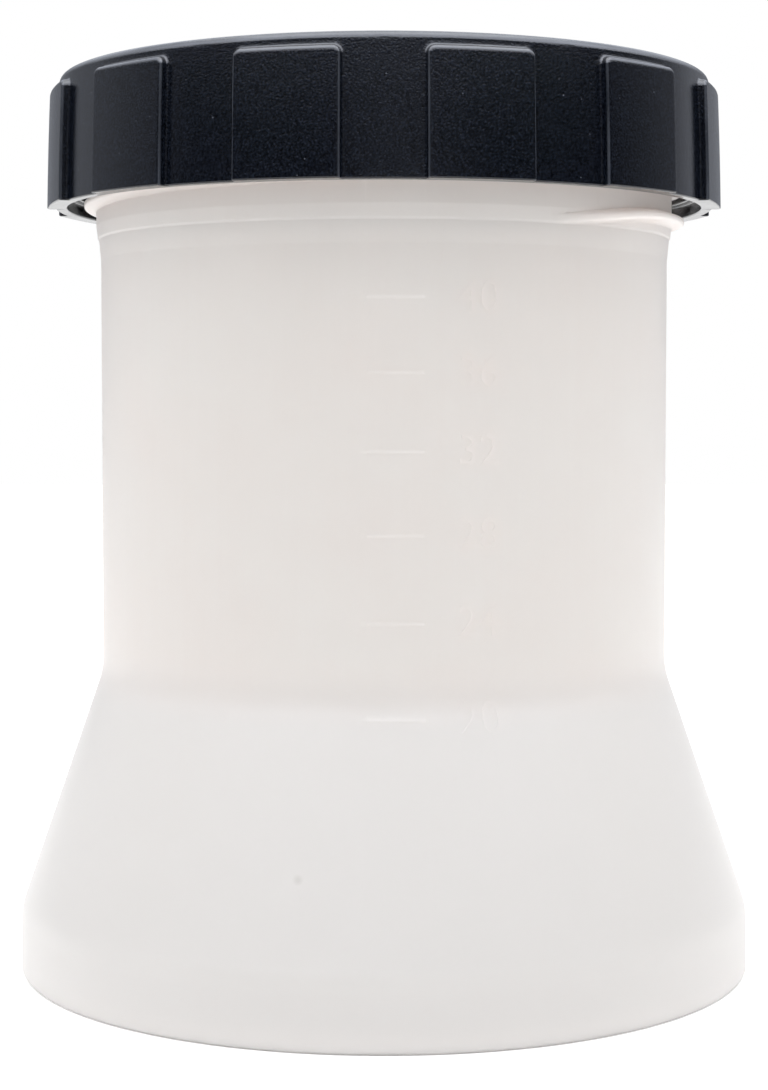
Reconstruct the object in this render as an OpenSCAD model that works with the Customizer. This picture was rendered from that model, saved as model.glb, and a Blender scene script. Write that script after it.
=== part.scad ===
// Paint cup of a sprayer, closed with its screw lid. Millimetres, Z up, origin under the centre of
// the foot. The front, with the fill scale, faces -Y.

/* [Cup] */
// Radius of the foot
foot_r = 68.6; // [66:0.1:72]
// Height of the straight band above the foot
band_h = 11.4; // [8:0.1:16]
// Height where the flare runs into the straight body
waist_z = 55.9; // [48:0.1:62]
// Radius of the body just above the flare
waist_r = 53.4; // [52.6:0.1:53.7]
// Radius of the body just under the neck
shoulder_r = 53.9; // [53.5:0.1:54.2]
// Height of the cup's rim
rim_z = 163.1; // [162.4:0.1:163.1]
// Thickness of the blown wall
wall = 1.6; // [1.2:0.1:2]
// Height of the push-up under the foot
push_up_h = 3.4; // [2:0.1:5]

/* [Neck and thread] */
// Radius of the neck at the root of its thread
neck_r = 54.8; // [54.6:0.1:55]
// Radius over the crest of the cup's thread
thread_r = 57.1; // [56.5:0.1:57.6]
// Rise of the thread in one turn
pitch = 6; // [5.5:0.1:6.5]
// Turns of thread on the cup
cup_turns = 2.75; // [2:0.25:3]
// Turns of thread in the lid
lid_turns = 1.5; // [1:0.25:2]

/* [Lid] */
// Outer radius of the skirt at its mouth, between the grip pads
skirt_r = 62.3; // [62.1:0.1:62.6]
// Outer radius over the grip pads at the mouth
pad_r = 64; // [63.6:0.1:65]
// Number of grip pads
pad_count = 12; // [8:1:14]
// Width of one grip pad
pad_w = 18.9; // [12:0.1:20]
// Height of the lid
lid_h = 24.6; // [24:0.1:25]
// Height of the lid's mouth above the ground
mouth_z = 142.5; // [142.5:0.1:142.8]
// Thickness of the top panel
panel_t = 2.6; // [2.2:0.1:2.8]
// Inner radius of the skirt
bore_r = 58.6; // [58.4:0.1:59]

/* [Fill scale] */
// Length of one embossed line
mark_w = 10; // [6:0.5:16]
// Height that a line stands proud
mark_t = 0.2; // [0.2:0.1:0.6]

/* [Hidden] */
$fn = 180;

lid_top_z = mouth_z + lid_h;
panel_under_z = lid_top_z - panel_t;

// Foot: the ring that it stands on, and the push-up inside that ring
heel_fillet = 0.8;
stand_w = 7.6;
stand_in_r = foot_r - stand_w;
stand_fillet = 1;
push_up_slope_w = 3;
push_up_bend_r = 2;
floor_t = 1.8;
heel_inside_r = 2;

// Bends of the wall where the band, the flare and the body meet
band_bend_r = 12;
waist_bend_r = 16;

// Neck: two low steps, where the mould's neck insert meets its body halves
neck_z = 137.9;
neck_step_r = 54.3;
neck_step_draft = 0.1;
neck_step_h = 0.6;
lower_step_z = 135.2;
shoulder_z = 134.4;
shoulder_bend_r = 1.6;
step_fillet = 0.6;
neck_inside_drop = 1;
neck_inside_bend_r = 3;
rim_fillet = 0.5;

// Fill scale: heights of its lines, and how far it sits to the right of the front
mark_z = [52.3, 68.5, 83.3, 97.5, 110.8, 123.6];
mark_h = 0.9;
mark_turn = 2;

// Thread: both ridges are trapezoids that fade out at their ends
root_w = 2.6;
crest_w = 1;
runout_turns = 0.08;
sunk = 0.4;
runout_tip = 0.1;
thread_steps = 48;
cup_thread_start = -63;
cup_thread_z = 139.05;
flank_gap = 0.35;
lid_thread_lead = 1.7;
thread_engaged = 1.5;
lid_thread_in_r = thread_r - thread_engaged;
thread_fall = (root_w + crest_w) / 2 + flank_gap;

// Lid: how its wall leans in towards the top, in a straight part and a curved part
wall_draft = 0.25;
wall_crown = 0.37;
crown_steps = 4;

// Lid: the relief at its mouth, its edges and the sunk top panel
relief_r = 60.2;
relief_h = 2.5;
mouth_fillet = 0.3;
relief_fillet = 0.4;
panel_inside_r = 1;
top_fillet = 1.2;
pad_top_drop = 2.5;
pad_corner = 1.4;
pad_fillet = 0.7;
pad_sunk = 0.6;
land_w = 5;
land_bend_r = 0.6;
panel_sink = 0.8;
gate_r = 3.5;
gate_sink = 0.3;

// Liner: a loose disc between the rim and the top panel
liner_gap = 0.2;
liner_play = 0.9;
liner_r = bore_r - liner_play;

// Radius of the body's outer wall at a height above the flare
function body_r(z) = waist_r + (shoulder_r - waist_r) * (z - waist_z) / (shoulder_z - waist_z);

// How far the lid's wall has leant in at a height above its mouth
function lean(h) = wall_draft * h / lid_h + wall_crown * pow(h / lid_h, 2);

// Points up the lid's wall, from a radius at the mouth to a height above it
function wall_up(r, top_h) =
    [for (i = [0:crown_steps]) let (h = top_h * i / crown_steps) [r - lean(h), mouth_z + h]];

// Points of the arc that rounds corner b of the outline a, b, c with radius r
function bend(a, b, c, r, steps = 5) =
    let (u = (a - b) / norm(a - b), v = (c - b) / norm(c - b))
    let (half = acos(u * v) / 2, axis = (u + v) / norm(u + v))
    let (centre = b + axis * r / sin(half), start = b + u * r / tan(half) - centre)
    let (turn = sign(cross(u, v)) * (2 * half - 180))
    [for (i = [0:steps])
        let (t = turn * i / steps)
        centre + [start[0] * cos(t) - start[1] * sin(t), start[0] * sin(t) + start[1] * cos(t)]];

function reversed(points) = [for (i = [len(points) - 1:-1:0]) points[i]];

// Closed outline from a list of [x, y, bend radius], where a bend of 0 leaves the corner sharp
function rounded(corners) =
    let (n = len(corners), at = [for (c = corners) [c[0], c[1]]])
    [for (i = [0:n - 1])
        each corners[i][2] == 0
            ? [at[i]]
            : bend(at[(i + n - 1) % n], at[i], at[(i + 1) % n], corners[i][2])];

// Height of a thread ridge at one end fades from nothing to full over runout_turns
function fade(turn, turns) = min(1, turn / runout_turns, (turns - turn) / runout_turns);

// Right-hand helical ridge that stands from root_r to crest_r, sunk into the wall behind it
module ridge(root_r, crest_r, turns, start, z) {
    way = sign(crest_r - root_r);
    back_r = root_r - way * sunk;
    low_r = back_r + way * runout_tip;
    count = ceil(turns * thread_steps);
    sections = [for (i = [0:count])
        let (turn = turns * i / count, a = start + 360 * turn, h = z + pitch * turn)
        let (tip_r = low_r + (crest_r - low_r) * fade(turn, turns))
        for (p = [[back_r, -root_w / 2], [tip_r, -crest_w / 2], [tip_r, crest_w / 2], [back_r, root_w / 2]])
            [p[0] * cos(a), p[0] * sin(a), h + p[1]]];
    sides = [for (i = [0:count - 1], k = [0:3])
        let (a = 4 * i + k, b = 4 * i + (k + 1) % 4)
        [a, b, b + 4, a + 4]];
    ends = [[3, 2, 1, 0], [for (k = [0:3]) 4 * count + k]];
    faces = concat(sides, ends);
    polyhedron(sections, way > 0 ? faces : [for (f = faces) reversed(f)]);
}

module cup_shell() {
    outline = [
        [0, push_up_h, 0],
        [stand_in_r - push_up_slope_w, push_up_h, push_up_bend_r],
        [stand_in_r, 0, stand_fillet],
        [foot_r, 0, heel_fillet],
        [foot_r, band_h, band_bend_r],
        [waist_r, waist_z, waist_bend_r],
        [shoulder_r, shoulder_z, shoulder_bend_r],
        [neck_step_r, lower_step_z, step_fillet],
        [neck_step_r + neck_step_draft, neck_z - neck_step_h, step_fillet / 2],
        [neck_r, neck_z, step_fillet],
        [neck_r, rim_z, rim_fillet],
        [neck_r - wall, rim_z, rim_fillet],
        [neck_r - wall, neck_z - neck_inside_drop, neck_inside_bend_r],
        [shoulder_r - wall, shoulder_z - neck_inside_drop, neck_inside_bend_r],
        [waist_r - wall, waist_z - wall / 2, waist_bend_r],
        [foot_r - wall, band_h, band_bend_r - wall],
        [foot_r - wall, floor_t, heel_inside_r],
        [stand_in_r - wall / 3, floor_t, stand_fillet],
        [stand_in_r - push_up_slope_w - wall / 3, push_up_h + floor_t, push_up_bend_r],
        [0, push_up_h + floor_t, 0],
    ];
    rotate_extrude()
        polygon(rounded(outline));
}

module fill_mark(z) {
    half = mark_w / 2 / waist_r * 180 / PI;
    r = z < waist_z ? waist_r + (waist_z - z) * (foot_r - waist_r) / (waist_z - band_h) : body_r(z);
    rotate_extrude(angle = 2 * half, start = mark_turn - 90 - half)
        translate([r - wall / 2, z - mark_h / 2])
            square([wall / 2 + mark_t, mark_h]);
}

module cup() {
    color([0.92, 0.91, 0.9]) {
        cup_shell();
        ridge(neck_r, thread_r, cup_turns, cup_thread_start, cup_thread_z);
        for (z = mark_z)
            fill_mark(z);
    }
}

module lid_shell() {
    top_r = skirt_r - lean(lid_h);
    land_in_r = top_r - land_w;
    outline = [
        [0, lid_top_z - panel_sink, 0],
        [land_in_r - panel_sink, lid_top_z - panel_sink, land_bend_r],
        [land_in_r, lid_top_z, land_bend_r],
        [top_r, lid_top_z, top_fillet],
        for (p = reversed(wall_up(skirt_r, lid_h - pad_top_drop)))
            [p[0], p[1], p[1] == mouth_z ? mouth_fillet : 0],
        [relief_r, mouth_z, mouth_fillet],
        [relief_r, mouth_z + relief_h, mouth_fillet],
        [bore_r, mouth_z + relief_h, relief_fillet],
        [bore_r, panel_under_z, panel_inside_r],
        [0, panel_under_z, 0],
    ];
    difference() {
        rotate_extrude()
            polygon(rounded(outline));
        translate([0, 0, lid_top_z - panel_sink - gate_sink])
            cylinder(r = gate_r, h = lid_h);
    }
}

// Outline of one pad as seen from outside, standing on the lid's mouth
module pad_face() {
    pad_h = lid_h - pad_top_drop;
    outline = [
        [-pad_w / 2, 0, 0],
        [pad_w / 2, 0, 0],
        [pad_w / 2, pad_h, pad_corner],
        [-pad_w / 2, pad_h, pad_corner],
    ];
    polygon(rounded(outline));
}

// One block for each pad, which cuts that pad out of a ring
module pad_blocks(back_r) {
    for (i = [0:pad_count - 1])
        rotate([0, 0, (i + 0.5) * 360 / pad_count - 90])
            translate([back_r, 0, mouth_z])
                rotate([90, 0, 90])
                    linear_extrude(pad_r)
                        pad_face();
}

module grip_pads() {
    pad_h = lid_h - pad_top_drop;
    back_r = skirt_r - lean(pad_h) - pad_sunk;
    ring = [
        [back_r, mouth_z, 0],
        for (p = wall_up(pad_r, pad_h))
            [p[0], p[1], p[1] == mouth_z ? mouth_fillet : p[1] == mouth_z + pad_h ? pad_fillet : 0],
        [back_r, mouth_z + pad_h, 0],
    ];
    intersection() {
        rotate_extrude()
            polygon(rounded(ring));
        pad_blocks(back_r - pad_corner);
    }
}

module lid() {
    start = cup_thread_start + 360 * lid_thread_lead;
    start_z = cup_thread_z + pitch * lid_thread_lead - thread_fall;
    color([0.13, 0.14, 0.16]) {
        lid_shell();
        grip_pads();
        ridge(bore_r, lid_thread_in_r, lid_turns, start, start_z);
    }
}

module liner() {
    color([0.95, 0.95, 0.93])
        translate([0, 0, rim_z + liner_gap])
            cylinder(r = liner_r, h = panel_under_z - rim_z - 2 * liner_gap);
}

cup();
lid();
liner();
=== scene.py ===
import math

import bmesh
import bpy
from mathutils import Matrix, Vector


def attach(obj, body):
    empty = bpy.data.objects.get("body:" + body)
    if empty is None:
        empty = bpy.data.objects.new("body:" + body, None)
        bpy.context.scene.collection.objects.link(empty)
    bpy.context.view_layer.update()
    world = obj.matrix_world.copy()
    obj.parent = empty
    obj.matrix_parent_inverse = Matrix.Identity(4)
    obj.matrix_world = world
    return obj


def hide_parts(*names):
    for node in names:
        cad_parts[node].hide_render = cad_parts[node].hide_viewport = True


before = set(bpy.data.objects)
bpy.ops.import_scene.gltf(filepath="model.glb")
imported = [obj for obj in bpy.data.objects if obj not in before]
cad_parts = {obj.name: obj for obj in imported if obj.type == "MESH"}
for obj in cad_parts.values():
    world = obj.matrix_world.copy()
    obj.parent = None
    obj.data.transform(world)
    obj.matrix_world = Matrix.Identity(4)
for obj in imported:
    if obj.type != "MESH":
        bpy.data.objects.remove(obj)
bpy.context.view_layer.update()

# Camera
# It stands level in front of the cup, a little above the middle of it. Its distance and lens follow
# from how the round edges of the foot, the skirt and the lid curve in the picture.
MM = 0.001
picture_px = (768, 1090)
focal_px = 2240.3
horizon_px = 416.4
camera_distance = 430.3
camera_height = 103.4

camera_data = bpy.data.cameras.new("camera")
camera_data.sensor_width = 36
camera_data.lens = camera_data.sensor_width * focal_px / picture_px[1]
camera_data.shift_y = (horizon_px - picture_px[1] / 2) / picture_px[1]
camera_data.clip_start = 0.01
camera = bpy.data.objects.new("camera", camera_data)
camera.location = (0, -camera_distance * MM, camera_height * MM)
camera.rotation_euler = (math.radians(90), 0, 0)
bpy.context.collection.objects.link(camera)
bpy.context.scene.camera = camera
bpy.context.scene.view_settings.view_transform = "Standard"


# Studio
# A wide white table in a white room, with one square softbox overhead. What the gloss of the lid
# mirrors is dimmer on the camera's side, as the dark half of a studio is.
def linear(hex_colour):
    """The linear RGBA of an sRGB hex colour."""
    channels = [int(hex_colour[i:i + 2], 16) / 255 for i in (1, 3, 5)]
    return (*[c / 12.92 if c <= 0.04045 else ((c + 0.055) / 1.055) ** 2.4 for c in channels], 1)


def add_node(tree, kind, inputs=None, **settings):
    """Adds a node. inputs maps its sockets to values, or to the sockets that feed them."""
    node = tree.nodes.new(kind)
    for name, value in settings.items():
        setattr(node, name, value)
    for name, value in (inputs or {}).items():
        if isinstance(value, bpy.types.NodeSocket):
            tree.links.new(value, node.inputs[name])
        else:
            node.inputs[name].default_value = value
    return node


def new_material(name):
    """An empty material with its output node."""
    material = bpy.data.materials.new(name)
    material.use_nodes = True
    material.node_tree.nodes.clear()
    return material, material.node_tree, add_node(material.node_tree, "ShaderNodeOutputMaterial")


def place_mesh(name, bm, materials, smooth_angle=40):
    """Makes an object of a bmesh in millimetres."""
    bm.normal_update()
    mesh = bpy.data.meshes.new(name)
    bmesh.ops.scale(bm, vec=(MM, MM, MM), verts=bm.verts)
    bm.to_mesh(mesh)
    bm.free()
    mesh.shade_smooth()
    mesh.set_sharp_from_angle(angle=math.radians(smooth_angle))
    for material in materials:
        mesh.materials.append(material)
    piece = bpy.data.objects.new(name, mesh)
    bpy.context.collection.objects.link(piece)
    return piece


table_radius = 3000
table_colour = "#F2F2F2"
table_lift = 0.3
table_lift_in_gloss = 0.35

table_white, tree, output = new_material("white laminate table")
path = add_node(tree, "ShaderNodeLightPath")
laminate = add_node(tree, "ShaderNodeBsdfDiffuse", {"Color": linear(table_colour)})
in_view = add_node(tree, "ShaderNodeMath", {
    0: path.outputs["Is Camera Ray"], 1: table_lift}, operation="MULTIPLY")
seen = add_node(tree, "ShaderNodeMath", {
    0: path.outputs["Is Glossy Ray"], 1: table_lift_in_gloss, 2: in_view.outputs[0]},
    operation="MULTIPLY_ADD")
lift = add_node(tree, "ShaderNodeEmission", {"Strength": seen.outputs[0]})
both = add_node(tree, "ShaderNodeAddShader", {0: laminate.outputs[0], 1: lift.outputs[0]})
tree.links.new(both.outputs[0], output.inputs["Surface"])
table_white.cycles.emission_sampling = "NONE"

bm = bmesh.new()
bmesh.ops.create_circle(bm, cap_ends=True, segments=96, radius=table_radius)
table = place_mesh("table", bm, [table_white])

# The room lights the cup a little more from behind than from the camera's side. What a gloss mirrors
# of it goes by bearing too: 0 is the camera's side, 1 is straight behind. Heights go from 0 at the
# horizon to 1 overhead. The glow is a low lit strip behind the camera.
front_light, back_light = 0.88, 1.08
room_turn = math.radians(-8)
wall_light = ((0, 0.03), (0.03, 0.02), (0.07, 0.02), (0.37, 0.02), (0.5, 0.22), (0.67, 0.45),
              (0.77, 0.58), (0.95, 0.34))
glow_light = 0.45
glow_low, glow_high = 0.09, 0.15
glow_bearing = 0.04
ceiling_light, ceiling_behind = 5.8, 1.5
ceiling_dims_from, ceiling_dims_to = 0.35, 0.75
ceiling_low, ceiling_high = 0.21, 0.6
daylight = "#EEF3FF"

world = bpy.data.worlds.new("studio")
world.use_nodes = True
bpy.context.scene.world = world
tree = world.node_tree
tree.nodes.clear()
path = add_node(tree, "ShaderNodeLightPath")
where = add_node(tree, "ShaderNodeTexCoord")
level = add_node(tree, "ShaderNodeVectorMath", {0: where.outputs["Generated"], 1: (1, 1, 0)},
                 operation="MULTIPLY")
bearing = add_node(tree, "ShaderNodeVectorMath", {0: level.outputs[0]}, operation="NORMALIZE")
away = add_node(tree, "ShaderNodeVectorMath", {
    0: bearing.outputs[0], 1: (math.sin(room_turn), math.cos(room_turn), 0)}, operation="DOT_PRODUCT")
backward = add_node(tree, "ShaderNodeMapRange", {"Value": away.outputs["Value"], "From Min": -1})
walls = add_node(tree, "ShaderNodeValToRGB", {"Fac": backward.outputs[0]})
walls.color_ramp.interpolation = "EASE"
stops = walls.color_ramp.elements
stops[-1].position = wall_light[-1][0]
for at, _ in wall_light[1:-1]:
    stops.new(at)
for stop, (_, strength) in zip(stops, wall_light):
    stop.color = (strength, strength, strength, 1)
overhead = add_node(tree, "ShaderNodeMapRange", {
    "Value": backward.outputs[0], "From Min": ceiling_dims_from, "From Max": ceiling_dims_to,
    "To Min": ceiling_light, "To Max": ceiling_behind})
upward = add_node(tree, "ShaderNodeSeparateXYZ", {0: where.outputs["Generated"]})
ceiling = add_node(tree, "ShaderNodeMapRange", {
    "Value": upward.outputs["Z"], "From Min": ceiling_low, "From Max": ceiling_high,
    "To Max": overhead.outputs[0]}, interpolation_type="SMOOTHSTEP")
low = add_node(tree, "ShaderNodeMapRange", {
    "Value": upward.outputs["Z"], "From Min": glow_high, "From Max": glow_low, "To Max": glow_light},
    interpolation_type="SMOOTHSTEP")
in_front = add_node(tree, "ShaderNodeMapRange", {
    "Value": backward.outputs[0], "From Min": glow_bearing, "From Max": 0})
low_in_front = add_node(tree, "ShaderNodeMath", {
    0: low.outputs[0], 1: in_front.outputs[0], 2: walls.outputs[0]}, operation="MULTIPLY_ADD")
seen_in_gloss = add_node(tree, "ShaderNodeMath", {
    0: low_in_front.outputs[0], 1: ceiling.outputs[0]}, operation="ADD")
gloss = add_node(tree, "ShaderNodeMath", {
    0: path.outputs["Is Glossy Ray"], 1: path.outputs["Is Transmission Ray"]}, operation="MAXIMUM")
cool = add_node(tree, "ShaderNodeVectorMath", {
    0: linear(daylight)[:3], "Scale": seen_in_gloss.outputs[0]}, operation="SCALE")
flood = add_node(tree, "ShaderNodeMapRange", {
    "Value": away.outputs["Value"], "From Min": -1, "To Min": front_light, "To Max": back_light})
room = add_node(tree, "ShaderNodeMix", {
    "Factor": gloss.outputs[0], "A": flood.outputs[0], "B": cool.outputs[0]}, data_type="RGBA")
shown = add_node(tree, "ShaderNodeMix", {
    "Factor": path.outputs["Is Camera Ray"], "A": room.outputs[2], "B": (1, 1, 1, 1)}, data_type="RGBA")
background = add_node(tree, "ShaderNodeBackground", {"Color": shown.outputs[2], "Strength": 1.0})
output = add_node(tree, "ShaderNodeOutputWorld", {"Surface": background.outputs[0]})

lamp = bpy.data.lights.new("softbox", "AREA")
lamp.shape = "SQUARE"
lamp.size = 900 * MM
lamp.energy = 5
softbox = bpy.data.objects.new("softbox", lamp)
softbox.location = Vector((0, -120, 850)) * MM
bpy.context.collection.objects.link(softbox)


# Cup
# One blow-moulded shell of natural high-density polyethylene: foot, flare, straight body, neck and
# thread. The blow mould left its parting line down both sides and the embossed fill scale in front.
foot_r = 68.6
band_h = 11.4
waist_r = 53.4
waist_z = 55.9
shoulder_r = 53.9
shoulder_z = 134.4
neck_step_r = 54.3
neck_step_z = 136.6
neck_step_t = 0.2
neck_step_h = 0.4
neck_r = 54.8
neck_z = 137.9
rim_z = 163.1
wall = 1.6
push_up_h = 3.4
floor_t = 1.8
stand_in_r = foot_r - 7.6
push_up_slope = 3

mark_z = (52.3, 68.5, 83.3, 97.5, 110.8, 123.6)
mark_w = 10
mark_h = 0.9
mark_t = 0.15
mark_edge = 0.25
mark_turn = math.radians(2)
fill_numbers = ("20", "24", "28", "32", "36", "40")
number_size = 7.6
number_t = 0.12
number_turn = math.radians(17.5)
pinch_w, pinch_l, pinch_t = 1.2, 44, 0.25
parting_h = 0.09
parting_turn = math.radians(0.3)

pitch = 6
thread_r = 57.1
cup_turns = 2.75
cup_thread_start = math.radians(-63)
cup_thread_z = 139.05
root_w = 2.6
crest_w = 1
sunk = 0.4
runout_turns = 0.1
runout_drop = 1.9
# Half of a ridge's section, from its root to its crest: how far from its middle, and what share of
# its height is reached. Its root runs into the wall in a soft curve. Its two ends sink into the wall,
# by a share of the depth at which it is rooted.
ridge_section = ((1.75, -0.04), (1.5, 0), (1.28, 0.06), (1.1, 0.2), (0.96, 0.42), (0.82, 0.68),
                 (0.68, 0.86), (0.5, 0.96), (0.25, 1))
end_sink = 0.3


def bend(a, b, c, radius, steps=6):
    """Points of the arc that rounds corner b of the outline a, b, c."""
    a, b, c = Vector(a), Vector(b), Vector(c)
    u, v = (a - b).normalized(), (c - b).normalized()
    half = u.angle(v) / 2
    centre = b + (u + v).normalized() * radius / math.sin(half)
    start = b + u * radius / math.tan(half) - centre
    turn = (2 * half - math.pi) * (1 if u.cross(v) > 0 else -1)
    turns = [turn * i / steps for i in range(steps + 1)]
    return [(centre[0] + start[0] * math.cos(t) - start[1] * math.sin(t),
             centre[1] + start[0] * math.sin(t) + start[1] * math.cos(t)) for t in turns]


def rounded(corners):
    """Outline from a list of (radius, height, bend radius), where 0 leaves a corner sharp."""
    at = [corner[:2] for corner in corners]
    points = []
    for i, (r, z, radius) in enumerate(corners):
        points += bend(at[i - 1], at[i], at[i + 1], radius) if radius else [(r, z)]
    return points


def smooth(share):
    """A share from 0 to 1, eased at both ends."""
    share = max(0, min(1, share))
    return share * share * (3 - 2 * share)


def with_rows(outline, heights):
    """The outline with a point more wherever it crosses one of the heights."""
    points = [outline[0]]
    for (r0, z0), (r1, z1) in zip(outline, outline[1:]):
        between = sorted((h for h in heights if min(z0, z1) < h < max(z0, z1)), reverse=z1 < z0)
        points += [(r0 + (r1 - r0) * (h - z0) / (z1 - z0), h) for h in between] + [(r1, z1)]
    return points


def spin(bm, outline, turns, proud=None):
    """Turns an outline from the axis back to the axis into a closed body."""
    def ring(k, r, z):
        if r < 1e-6:
            return [bm.verts.new((0, 0, z))] * len(turns)
        out = [r + (proud(k, r, z, t) if proud else 0) for t in turns]
        return [bm.verts.new((o * math.cos(t), o * math.sin(t), z)) for o, t in zip(out, turns)]

    rings = [ring(k, r, z) for k, (r, z) in enumerate(outline)]
    for low, high in zip(rings, rings[1:]):
        for i in range(len(turns)):
            j = (i + 1) % len(turns)
            corners = dict.fromkeys((low[i], low[j], high[j], high[i]))
            bm.faces.new(corners)


def thread_ridge(wall_at, crest_r, turns, start, z, drop=0, steps=90):
    """A right-hand ridge rooted in the wall, whose radius at a height wall_at gives. It fades out at
    both ends, and drops at its low one."""
    bm = bmesh.new()
    inward = math.copysign(sunk, wall_at(z + pitch) - crest_r)
    count = math.ceil(turns * steps)
    section = [(-across, share) for across, share in ridge_section]
    section += [(-across, share) for across, share in reversed(section)]
    edge = ridge_section[0][0]
    rings = []
    for i in range(count + 1):
        turn = turns * i / count
        a = start + 2 * math.pi * turn
        fade = smooth(min(turn, turns - turn) / runout_turns)
        middle_z = z + pitch * turn - drop * (1 - smooth(turn / runout_turns))
        roots = [wall_at(middle_z + across) for across, _ in section]
        radii = [roots[0] + inward]
        radii += [root + (crest_r - root) * share * fade + inward * end_sink * (1 - fade)
                  for root, (_, share) in zip(roots, section)]
        radii += [roots[-1] + inward]
        heights = [middle_z + across for across in (-edge, *(across for across, _ in section), edge)]
        rings.append([bm.verts.new((r * math.cos(a), r * math.sin(a), h))
                      for r, h in zip(radii, heights)])
    n = len(rings[0])
    for low, high in zip(rings, rings[1:]):
        for k in range(n):
            bm.faces.new((low[k], low[(k + 1) % n], high[(k + 1) % n], high[k]))
    bm.faces.new(rings[0][::-1])
    bm.faces.new(rings[-1])
    bmesh.ops.recalc_face_normals(bm, faces=bm.faces)
    return bm


def weld(piece, bm):
    """Joins a closed bmesh to a piece as one moulding, with its edges cut in cleanly."""
    other = place_mesh(piece.name + "_weld", bm, [])
    union = piece.modifiers.new("weld", "BOOLEAN")
    union.operation = "UNION"
    union.solver = "MANIFOLD"
    union.object = other
    welded = bpy.data.meshes.new_from_object(piece.evaluated_get(bpy.context.evaluated_depsgraph_get()))
    welded.set_sharp_from_angle(angle=math.radians(40))
    piece.modifiers.clear()
    piece.data = welded
    bpy.data.objects.remove(other)
    even = piece.modifiers.new("weighted normals", "WEIGHTED_NORMAL")
    even.keep_sharp = True


def add_figures(bm, words, turn, middle_z):
    """Adds raised figures to a bmesh, bent round the cup's wall."""
    text = bpy.data.curves.new("figures", "FONT")
    text.body = words
    text.size = number_size
    text.extrude = sunk
    text.align_x, text.align_y = "CENTER", "CENTER"
    flat = bpy.data.objects.new("figures", text)
    figures = bmesh.new()
    figures.from_mesh(bpy.data.meshes.new_from_object(flat))
    bmesh.ops.remove_doubles(figures, verts=figures.verts, dist=1e-4)
    for v in figures.verts:
        z = middle_z + v.co.y
        r = wall_r(z) + (number_t if v.co.z > 0 else -sunk)
        a = turn + v.co.x / waist_r
        v.co = (r * math.cos(a), r * math.sin(a), z)
    bent = bpy.data.meshes.new("figures")
    figures.to_mesh(bent)
    figures.free()
    bm.from_mesh(bent)
    bpy.data.objects.remove(flat)


outside = with_rows(rounded([
    (0, push_up_h, 0),
    (stand_in_r - push_up_slope, push_up_h, 2),
    (stand_in_r, 0, 1),
    (foot_r, 0, 0.8),
    (foot_r, band_h, 12),
    (waist_r, waist_z, 16),
    (shoulder_r, shoulder_z - 1.7, 6),
    (neck_step_r, neck_step_z, 0.4),
    (neck_step_r + neck_step_t, neck_step_z + neck_step_h, 0.4),
    (neck_r, neck_z + 1.4, 2),
    (neck_r, rim_z, 0.5),
    (neck_r - wall / 2, rim_z, 0),
]), [z + side * (mark_h / 2 + edge) for z in mark_z for side in (-1, 1) for edge in (0, -mark_edge)])
inside = rounded([
    (neck_r - wall / 2, rim_z, 0),
    (neck_r - wall, rim_z, 0.5),
    (neck_r - wall, neck_z - 1, 3),
    (shoulder_r - wall, shoulder_z - 1, 3),
    (waist_r - wall, waist_z - wall / 2, 16),
    (foot_r - wall, band_h, 10),
    (foot_r - wall, floor_t, 2),
    (stand_in_r - 0.5, floor_t, 1),
    (stand_in_r - push_up_slope - 0.5, push_up_h + floor_t, 2),
    (0, push_up_h + floor_t, 0),
])


def wall_r(z):
    """Outer radius of the wall at a height."""
    for (r0, z0), (r1, z1) in zip(outside, outside[1:]):
        if z0 < z <= z1:
            return r0 + (r1 - r0) * (z - z0) / (z1 - z0)
    return neck_r


mark_middle = mark_turn - math.pi / 2
mark_half_turn = mark_w / 2 / waist_r
edge_turn = mark_edge / waist_r


def within(distance, half, edge):
    """0 outside half, rising to 1 over edge."""
    return smooth((half - abs(distance)) / edge)


def cup_proud(k, r, z, turn):
    """How far the outer wall stands out for the fill marks and the parting line."""
    if k >= len(outside):
        return 0
    sideways = within(turn - mark_middle, mark_half_turn, edge_turn)
    mark = max(within(z - m, mark_h / 2, mark_edge) for m in mark_z) * sideways * mark_t
    seam = abs((turn + math.pi / 2) % math.pi - math.pi / 2)
    on_wall = (r > stand_in_r or z > floor_t) and z < neck_z
    seam_h = min(parting_h, foot_r - r) if on_wall else 0
    return mark + seam_h * max(0, 1 - seam / parting_turn)


columns = 240
turns = [2 * math.pi * i / columns - math.pi for i in range(columns)]
turns += [mark_middle + side * (mark_half_turn - edge) for side in (-1, 1) for edge in (0, edge_turn)]
turns += [middle + side * parting_turn for middle in (0, math.pi) for side in (-1, 1)]
turns = sorted((t + math.pi) % (2 * math.pi) - math.pi for t in turns)

bm = bmesh.new()
spin(bm, outside + inside[1:], turns, cup_proud)
bmesh.ops.recalc_face_normals(bm, faces=bm.faces)

# Natural high-density polyethylene, unpigmented: a warm milky white that light passes through, cloudy
# where the wall is thicker, with faint die lines along it and one speck moulded in. The sandblasted
# mould leaves a satin skin, whose grain is drawn at 0.35 mm, coarser than the real one, to show.
die_line_mm = 2.2
die_line_stretch = 60
wall_cloud_mm = 26
waist_blend = 6
scuff_mm = 1.5
scuff_h = 1.2
speck_at = (-14.2, -61.7, 27.1)
speck_r = 0.5
blast_mm = 0.35
blast_depth_mm = 0.006
scatter_mm = 6

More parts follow.
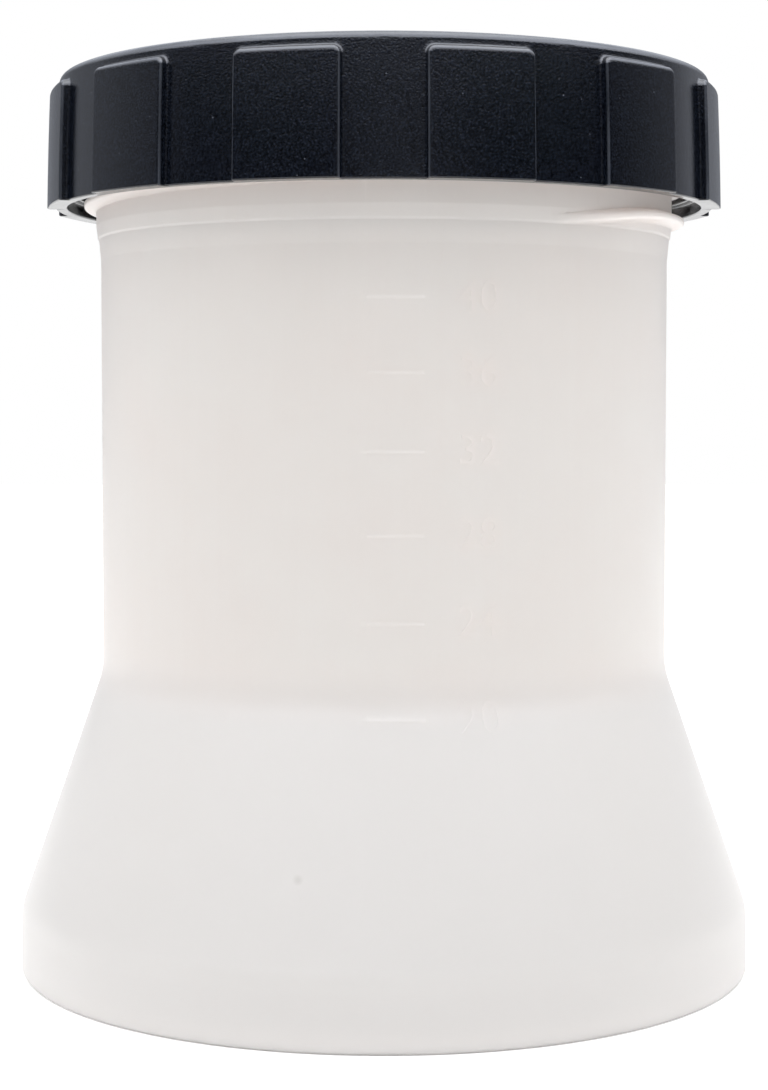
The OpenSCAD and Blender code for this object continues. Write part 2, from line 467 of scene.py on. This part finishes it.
polyethylene, tree, output = new_material("natural high-density polyethylene")
where = add_node(tree, "ShaderNodeTexCoord")
drawn_out = add_node(tree, "ShaderNodeMapping", {
    "Vector": where.outputs["Object"], "Scale": (1, 1, 1 / die_line_stretch)})
die_lines = add_node(tree, "ShaderNodeTexNoise", {
    "Vector": drawn_out.outputs[0], "Scale": 1 / (die_line_mm * MM), "Detail": 2.0, "Roughness": 0.7})
clouds = add_node(tree, "ShaderNodeTexNoise", {
    "Vector": where.outputs["Object"], "Scale": 1 / (wall_cloud_mm * MM), "Detail": 3.0,
    "Roughness": 0.5})
thickness = add_node(tree, "ShaderNodeMath", {
    0: die_lines.outputs["Fac"], 1: 0.2, 2: clouds.outputs["Fac"]}, operation="MULTIPLY_ADD")
thick = add_node(tree, "ShaderNodeMapRange", {
    "Value": thickness.outputs[0], "From Min": 0.35, "From Max": 0.85})
milky = add_node(tree, "ShaderNodeMix", {
    "Factor": thick.outputs[0], "A": linear("#F9E9E2"), "B": linear("#F6E4DD")}, data_type="RGBA")
height = add_node(tree, "ShaderNodeSeparateXYZ", {0: where.outputs["Object"]})
# Painted shade: below the waist the colour is painted greyer and cooler, for how the light falls on the
# flare
below_waist_share = add_node(tree, "ShaderNodeMapRange", {
    "Value": height.outputs["Z"], "From Min": (waist_z + waist_blend) * MM,
    "From Max": (waist_z - waist_blend) * MM}, interpolation_type="SMOOTHSTEP")
painted_flare_shade = add_node(tree, "ShaderNodeMix", {
    "Factor": below_waist_share.outputs[0], "A": milky.outputs[2], "B": linear("#E7E2DF")}, data_type="RGBA")
from_speck = add_node(tree, "ShaderNodeVectorMath", {
    0: where.outputs["Object"], 1: [c * MM for c in speck_at]}, operation="DISTANCE")
speck = add_node(tree, "ShaderNodeMapRange", {
    "Value": from_speck.outputs["Value"], "From Min": speck_r * 2 * MM, "From Max": speck_r / 2 * MM})
specked = add_node(tree, "ShaderNodeMix", {
    "Factor": speck.outputs[0], "A": painted_flare_shade.outputs[2], "B": linear("#DBD6D2")}, data_type="RGBA")
scratches = add_node(tree, "ShaderNodeTexNoise", {
    "Vector": where.outputs["Object"], "Scale": 1 / (scuff_mm * MM), "Detail": 4.0, "Distortion": 1.5})
on_ground = add_node(tree, "ShaderNodeMapRange", {
    "Value": height.outputs["Z"], "From Min": scuff_h * MM, "From Max": 0})
scuffed = add_node(tree, "ShaderNodeMath", {
    0: scratches.outputs["Fac"], 1: on_ground.outputs[0]}, operation="MULTIPLY")
cloudy = add_node(tree, "ShaderNodeMapRange", {
    "Value": clouds.outputs["Fac"], "To Min": 0.34, "To Max": 0.46})
satin = add_node(tree, "ShaderNodeMath", {
    0: scuffed.outputs[0], 1: 0.6, 2: cloudy.outputs[0]}, operation="MULTIPLY_ADD")
blasting = add_node(tree, "ShaderNodeTexNoise", {
    "Vector": where.outputs["Object"], "Scale": 1 / (blast_mm * MM), "Detail": 2.0})
skin_relief = add_node(tree, "ShaderNodeMath", {
    0: die_lines.outputs["Fac"], 1: 0.5, 2: blasting.outputs["Fac"]}, operation="MULTIPLY_ADD")
relief = add_node(tree, "ShaderNodeBump", {
    "Height": skin_relief.outputs[0], "Distance": blast_depth_mm * MM, "Strength": 1.0})
skin = add_node(tree, "ShaderNodeBsdfPrincipled", {
    "Base Color": specked.outputs[2], "Roughness": satin.outputs[0], "IOR": 1.54,
    "Normal": relief.outputs[0], "Subsurface Weight": 1.0, "Subsurface Radius": (1.0, 1.0, 1.0),
    "Subsurface Scale": scatter_mm * MM})
tree.links.new(skin.outputs[0], output.inputs["Surface"])

cup = place_mesh("cup_shell", bm, [polyethylene])
raised = thread_ridge(wall_r, thread_r, cup_turns, cup_thread_start, cup_thread_z, runout_drop)
for z, words in zip(mark_z, fill_numbers):
    add_figures(raised, words, number_turn - math.pi / 2, z)
pinch = bmesh.ops.create_cube(raised, size=1)["verts"]
bmesh.ops.scale(raised, vec=(pinch_l, pinch_w, pinch_t * 2), verts=pinch)
bmesh.ops.translate(raised, vec=(0, 0, push_up_h), verts=pinch)
weld(cup, raised)
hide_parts("cup")
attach(cup, "cup")


# Liner
# A loose disc of white foamed polyethylene, punched from sheet. It lies under the lid's top panel
# and the cup's rim presses a ring into it.
liner_r = 57.7
liner_gap = 0.2
panel_under_z = 164.5
liner_low = rim_z + liner_gap
liner_top = panel_under_z - liner_gap
pressed_in_r, pressed_out_r = 52.9, 55.1
pressed_t = 0.12

# Foamed polyethylene sheet, extruded: closed cells of about 0.5 mm show through its thin skin as soft
# dimples, and the skin is duller in patches.
cell_mm = 0.5
cell_depth_mm = 0.05
patch_mm = 8
foam_scatter_mm = 2

foam, tree, output = new_material("foamed polyethylene sheet")
where = add_node(tree, "ShaderNodeTexCoord")
cells = add_node(tree, "ShaderNodeTexVoronoi", {
    "Vector": where.outputs["Object"], "Scale": 1 / (cell_mm * MM), "Randomness": 1.0})
patches = add_node(tree, "ShaderNodeTexNoise", {
    "Vector": where.outputs["Object"], "Scale": 1 / (patch_mm * MM), "Detail": 3.0})
white = add_node(tree, "ShaderNodeMix", {
    "Factor": patches.outputs["Fac"], "A": linear("#E4E4DE"), "B": linear("#F1F1EC")}, data_type="RGBA")
matt = add_node(tree, "ShaderNodeMapRange", {
    "Value": patches.outputs["Fac"], "To Min": 0.55, "To Max": 0.8})
dimples = add_node(tree, "ShaderNodeBump", {
    "Height": cells.outputs["Distance"], "Distance": cell_depth_mm * MM, "Strength": 1.0})
skin = add_node(tree, "ShaderNodeBsdfPrincipled", {
    "Base Color": white.outputs[2], "Roughness": matt.outputs[0], "IOR": 1.5,
    "Normal": dimples.outputs[0], "Subsurface Weight": 0.6, "Subsurface Radius": (1.0, 1.0, 1.0),
    "Subsurface Scale": foam_scatter_mm * MM})
tree.links.new(skin.outputs[0], output.inputs["Surface"])

bm = bmesh.new()
spin(bm, rounded([
    (0, liner_low, 0), (pressed_in_r, liner_low, 0.1), (pressed_in_r + 0.2, liner_low + pressed_t, 0.1),
    (pressed_out_r - 0.2, liner_low + pressed_t, 0.1), (pressed_out_r, liner_low, 0.1),
    (liner_r, liner_low, 0.2), (liner_r, liner_top, 0.2), (0, liner_top, 0)]),
     [2 * math.pi * i / columns for i in range(columns)])
bmesh.ops.recalc_face_normals(bm, faces=bm.faces)
liner = place_mesh("liner_disc", bm, [foam])
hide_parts("liner")
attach(liner, "liner")


# Lid
# One injection moulding of black polypropylene: top panel, skirt with twelve grip pads, and the
# thread inside. The outside of the mould is spark-eroded to a fine grain, the inside is polished.
mouth_z = 142.5
lid_top_z = 167.1
skirt_r = 61.7
pad_r = 64
wall_draft = 0.25
wall_crown = 0.37
pad_count = 12
pad_w = 18.9
pad_hollow = 0.25
pad_top_z = lid_top_z - 2.5
pad_corner = 1.4
bore_r = 58.6
relief_r = 60.2
relief_h = 2.5
top_fillet = 1.2
mouth_fillet = 0.3
land_w = 5
panel_sink = 0.8
gate_r = 3.5
gate_sink = 0.3
stub_r, stub_h = 0.9, 0.2
lid_turns = 1.5
lid_thread_lead = 1.7
lid_thread_in_r = thread_r - 1.5
thread_fall = (root_w + crest_w) / 2 + 0.35

sector = 2 * math.pi / pad_count
skirt_mouth_r = skirt_r + wall_draft + wall_crown
half_w = math.asin(pad_w / 2 / pad_r) * skirt_r
half_gap = sector * skirt_r / 2
side_steps, corner_steps, top_steps = 6, 8, 8
skirt_low_z = mouth_z + mouth_fillet
skirt_high_z = lid_top_z - top_fillet
corner_z = pad_top_z - pad_corner

# Cross-section of a pad's edge: how far inside its outline, the same over its top, where the edge is
# rounder, and how much of the pad's height is reached
pad_edge = ((-0.9, -0.9, 0), (-0.4, -0.4, 0), (-0.2, -0.2, 0.03), (-0.06, -0.05, 0.12), (0, 0.02, 0.3),
            (0.04, 0.1, 0.66), (0.1, 0.22, 0.82), (0.22, 0.45, 0.95), (0.4, 0.75, 1), (0.8, 1.05, 1),
            (pad_corner, pad_corner, 1))


def pad_path(inset, top_inset):
    """(across, height) points up one side of a pad, over its top and down the other side."""
    side_z = [skirt_low_z + (corner_z - skirt_low_z) * i / side_steps for i in range(side_steps + 1)]
    left = [(-half_w + inset, z) for z in side_z]
    for i in range(1, corner_steps):
        a = math.pi - math.pi / 2 * i / corner_steps
        left.append((-half_w + pad_corner + (pad_corner - inset) * math.cos(a),
                     corner_z + (pad_corner - top_inset) * math.sin(a)))
    flat = half_w - pad_corner
    top = [(-flat + 2 * flat * i / top_steps, pad_top_z - top_inset) for i in range(top_steps + 1)]
    return left + top + [(-x, z) for x, z in reversed(left)]


def sector_path():
    """The same number of points along the edge of the pad's share of the skirt."""
    half = corner_steps // 2
    flat = half_w - pad_corner
    side_z = [skirt_low_z + (corner_z - skirt_low_z) * i / side_steps for i in range(side_steps + 1)]
    left = [(-half_gap, z) for z in side_z]
    left += [(-half_gap, corner_z + (skirt_high_z - corner_z) * i / half) for i in range(1, half + 1)]
    left += [(-half_gap + (half_gap - flat) * i / half, skirt_high_z) for i in range(1, half)]
    top = [(-flat + 2 * flat * i / top_steps, skirt_high_z) for i in range(top_steps + 1)]
    return left + top + [(-x, z) for x, z in reversed(left)]


def lid_r(x, z, rise):
    """Radius between the skirt (rise 0) and a pad's face (rise 1), which is a little flatter."""
    up = (z - mouth_z) / (lid_top_z - mouth_z)
    taper = wall_draft * up + wall_crown * up ** 2
    low = skirt_mouth_r - taper
    high = pad_r - taper - pad_hollow * (1 - (x / half_w) ** 2)
    return low + (high - low) * rise


bm = bmesh.new()
corner_at = {}


def corner(r, a, z):
    """The one vertex at a place given by radius, angle and height."""
    at = (r * math.cos(a), r * math.sin(a), z)
    key = tuple(round(c, 4) for c in at)
    if key not in corner_at:
        corner_at[key] = bm.verts.new(at)
    return corner_at[key]


def strip(first, second, closed=False):
    """Faces between two rows of as many vertices."""
    last = len(first) if closed else len(first) - 1
    for i in range(last):
        j = (i + 1) % len(first)
        face = list(dict.fromkeys((first[i], first[j], second[j], second[i])))
        if len(face) > 2 and bm.faces.get(face) is None:
            bm.faces.new(face)


outer_path = sector_path()
foot_path = pad_path(*pad_edge[0][:2])
rows = [([*outer_path], 0)]
for share in (0.3, 0.6, 0.85):
    rows.append(([(a[0] + (b[0] - a[0]) * share, a[1] + (b[1] - a[1]) * share)
                  for a, b in zip(outer_path, foot_path)], 0))
rows += [(pad_path(inset, top_inset), rise) for inset, top_inset, rise in pad_edge]

low_ring, high_ring = [], []
for number in range(pad_count):
    middle = (number + 0.5) * sector - math.pi / 2
    laid = [[corner(lid_r(x, z, rise), middle + x / skirt_r, z) for x, z in points]
            for points, rise in rows]
    for first, second in zip(laid, laid[1:]):
        strip(first, second)
    face_rows = [[corner(lid_r(x, z, 1), middle + x / skirt_r, z)
                  for x, _ in rows[-1][0][side_steps + corner_steps:-side_steps - corner_steps]]
                 for _, z in rows[-1][0][:side_steps + 1]]
    for first, second in zip(face_rows, face_rows[1:]):
        strip(first, second)
    low_ring += [row[0] for row in laid[:-1]] + face_rows[0] + [row[-1] for row in laid[-2:0:-1]]
    over = laid[0][side_steps + corner_steps // 2:-side_steps - corner_steps // 2 - 1]
    high_ring += over


def onward(ring, outline):
    """Rows of vertices that carry a ring on along an outline of (radius, height)."""
    angles = [math.atan2(v.co.y, v.co.x) for v in ring]
    last = ring
    for r, z in outline:
        row = [corner(0, 0, z)] * len(ring) if r == 0 else [corner(r, a, z) for a in angles]
        strip(last, row, closed=True)
        last = row


high_arc = [(skirt_r - top_fillet + top_fillet * math.cos(a), skirt_high_z + top_fillet * math.sin(a))
            for a in (math.pi / 2 * i / 6 for i in range(1, 7))]
land_in_r = skirt_r - land_w
panel_z = lid_top_z - panel_sink
gate_z = panel_z - gate_sink
onward(high_ring, high_arc + rounded([
    (land_in_r + 0.7, lid_top_z, 0), (land_in_r, lid_top_z, 0.6),
    (land_in_r - panel_sink, panel_z, 0.6), (gate_r + 0.6, panel_z, 0.3), (gate_r, gate_z, 0.3),
    (stub_r, gate_z, 0.05), (stub_r - 0.1, gate_z + stub_h, 0.05), (0, gate_z + stub_h, 0)]))

fillet_rows = [mouth_fillet * (1 - math.cos(math.pi / 6 * i)) for i in (1, 2, 3)]
fillet_drops = [mouth_fillet * math.sin(math.pi / 6 * i) for i in (1, 2, 3)]
last = low_ring
for inset, drop in zip(fillet_rows, fillet_drops):
    row = [corner(v.co.xy.length - inset, math.atan2(v.co.y, v.co.x), skirt_low_z - drop)
           for v in low_ring]
    strip(last, row, closed=True)
    last = row
onward(last, rounded([
    (relief_r + 0.4, mouth_z, 0), (relief_r, mouth_z, 0.3), (relief_r, mouth_z + relief_h, 0.3),
    (bore_r, mouth_z + relief_h, 0.4), (bore_r, panel_under_z, 1), (0, panel_under_z, 0)]))
bmesh.ops.recalc_face_normals(bm, faces=bm.faces)

# Black polypropylene from a spark-eroded mould: a fine, hard grain that scatters a soft sheen. Glints
# are painted into its colour as small light spots in scattered cells. The real grain is about 0.1 mm,
# drawn at 0.34 mm to show.
grain_mm = 0.34
grain_depth_mm = 0.035
cloud_mm = 9
painted_glint_mm = 3.2

polypropylene, tree, output = new_material("spark-eroded black polypropylene")
where = add_node(tree, "ShaderNodeTexCoord")
grain = add_node(tree, "ShaderNodeTexNoise", {
    "Vector": where.outputs["Object"], "Scale": 1 / (grain_mm * MM), "Detail": 2.0, "Roughness": 0.6})
cloud = add_node(tree, "ShaderNodeTexNoise", {
    "Vector": where.outputs["Object"], "Scale": 1 / (cloud_mm * MM), "Detail": 3.0, "Roughness": 0.55})
worn_and_highlit = add_node(tree, "ShaderNodeAttribute", attribute_name="edge_wear_and_highlight")
rubbed_and_highlit = add_node(tree, "ShaderNodeMath", {
    0: worn_and_highlit.outputs["Fac"], 1: cloud.outputs["Fac"]}, operation="MULTIPLY")
speckle = add_node(tree, "ShaderNodeMapRange", {
    "Value": grain.outputs["Fac"], "From Min": 0.43, "From Max": 0.67})
black = add_node(tree, "ShaderNodeMix", {
    "Factor": speckle.outputs[0], "A": linear("#020308"), "B": linear("#181D27")}, data_type="RGBA")
# Wear and painted highlight: the rounded edges of the pads and the top are painted a lighter grey, for
# the worn grain and for the light lines that these edges catch
greyed_and_highlit = add_node(tree, "ShaderNodeMix", {
    "Factor": rubbed_and_highlit.outputs[0], "A": black.outputs[2], "B": linear("#4C5058")}, data_type="RGBA")
# Painted glints: a small light spot painted into the colour in each cell, standing in for glints
painted_glint_cells = add_node(tree, "ShaderNodeTexVoronoi", {
    "Vector": where.outputs["Object"], "Scale": 1 / (painted_glint_mm * MM), "Randomness": 1.0})
painted_glint = add_node(tree, "ShaderNodeMapRange", {
    "Value": painted_glint_cells.outputs["Distance"], "From Min": 0.01, "From Max": 0.05,
    "To Min": 1.0, "To Max": 0.0})
with_painted_glints = add_node(tree, "ShaderNodeMix", {
    "Factor": painted_glint.outputs[0], "A": greyed_and_highlit.outputs[2], "B": linear("#6A6F79")}, data_type="RGBA")
dull = add_node(tree, "ShaderNodeMapRange", {
    "Value": cloud.outputs["Fac"], "To Min": 0.1, "To Max": 0.16})
smoothed = add_node(tree, "ShaderNodeMath", {
    0: worn_and_highlit.outputs["Fac"], 1: -0.02, 2: dull.outputs[0]}, operation="MULTIPLY_ADD")
relief = add_node(tree, "ShaderNodeBump", {
    "Height": grain.outputs["Fac"], "Distance": grain_depth_mm * MM, "Strength": 1.0})
skin = add_node(tree, "ShaderNodeBsdfPrincipled", {
    "Base Color": with_painted_glints.outputs[2], "Roughness": smoothed.outputs[0], "IOR": 1.49,
    "Normal": relief.outputs[0]})
tree.links.new(skin.outputs[0], output.inputs["Surface"])

# The same polypropylene from a polished core: smooth, so it mirrors the table at a low angle
polished, tree, output = new_material("polished black polypropylene")
where = add_node(tree, "ShaderNodeTexCoord")
haze = add_node(tree, "ShaderNodeTexNoise", {
    "Vector": where.outputs["Object"], "Scale": 1 / (cloud_mm * MM), "Detail": 4.0})
dull = add_node(tree, "ShaderNodeMapRange", {
    "Value": haze.outputs["Fac"], "To Min": 0.08, "To Max": 0.2})
skin = add_node(tree, "ShaderNodeBsdfPrincipled", {
    "Base Color": linear("#12151B"), "Roughness": dull.outputs[0], "IOR": 1.49})
tree.links.new(skin.outputs[0], output.inputs["Surface"])

lid = place_mesh("screw_lid", bm, [polypropylene, polished])
lid_thread_start = cup_thread_start + 2 * math.pi * lid_thread_lead
lid_thread_z = cup_thread_z + pitch * lid_thread_lead - thread_fall
weld(lid, thread_ridge(lambda z: bore_r, lid_thread_in_r, lid_turns, lid_thread_start, lid_thread_z))
for face in lid.data.polygons:
    at = face.center / MM
    inner = at.xy.length < bore_r + 0.3 and at.z < panel_under_z + 0.1
    in_relief = at.z < mouth_z + relief_h + 0.1 and at.xy.length < relief_r + 0.2
    on_mouth = at.z < mouth_z + 0.05
    face.material_index = int(inner or in_relief or on_mouth)


def rubbed_and_highlit_edge(at):
    """1 on the rounded edge of a pad or of the top, where hands and benches rub the grain down. The
    lighter grey painted there is worn grain and also a painted highlight.
    """
    r, z = at.xy.length, at.z
    across = abs((math.atan2(at.y, at.x) + math.pi / 2) % sector - sector / 2) * skirt_r
    on_pad = r > lid_r(0, z, 0.8) and z < pad_top_z
    pad_rim = on_pad and (half_w - across < 0.3 or pad_top_z - z < 0.6)
    return 1.0 if pad_rim or z > skirt_high_z + 0.3 and r > skirt_r - top_fillet else 0.0


# The edges painted lighter, as wear and as painted highlight
lightened_edges = lid.data.attributes.new("edge_wear_and_highlight", "FLOAT", "POINT")
for vertex in lid.data.vertices:
    lightened_edges.data[vertex.index].value = rubbed_and_highlit_edge(vertex.co / MM)
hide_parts("lid")
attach(lid, "lid")
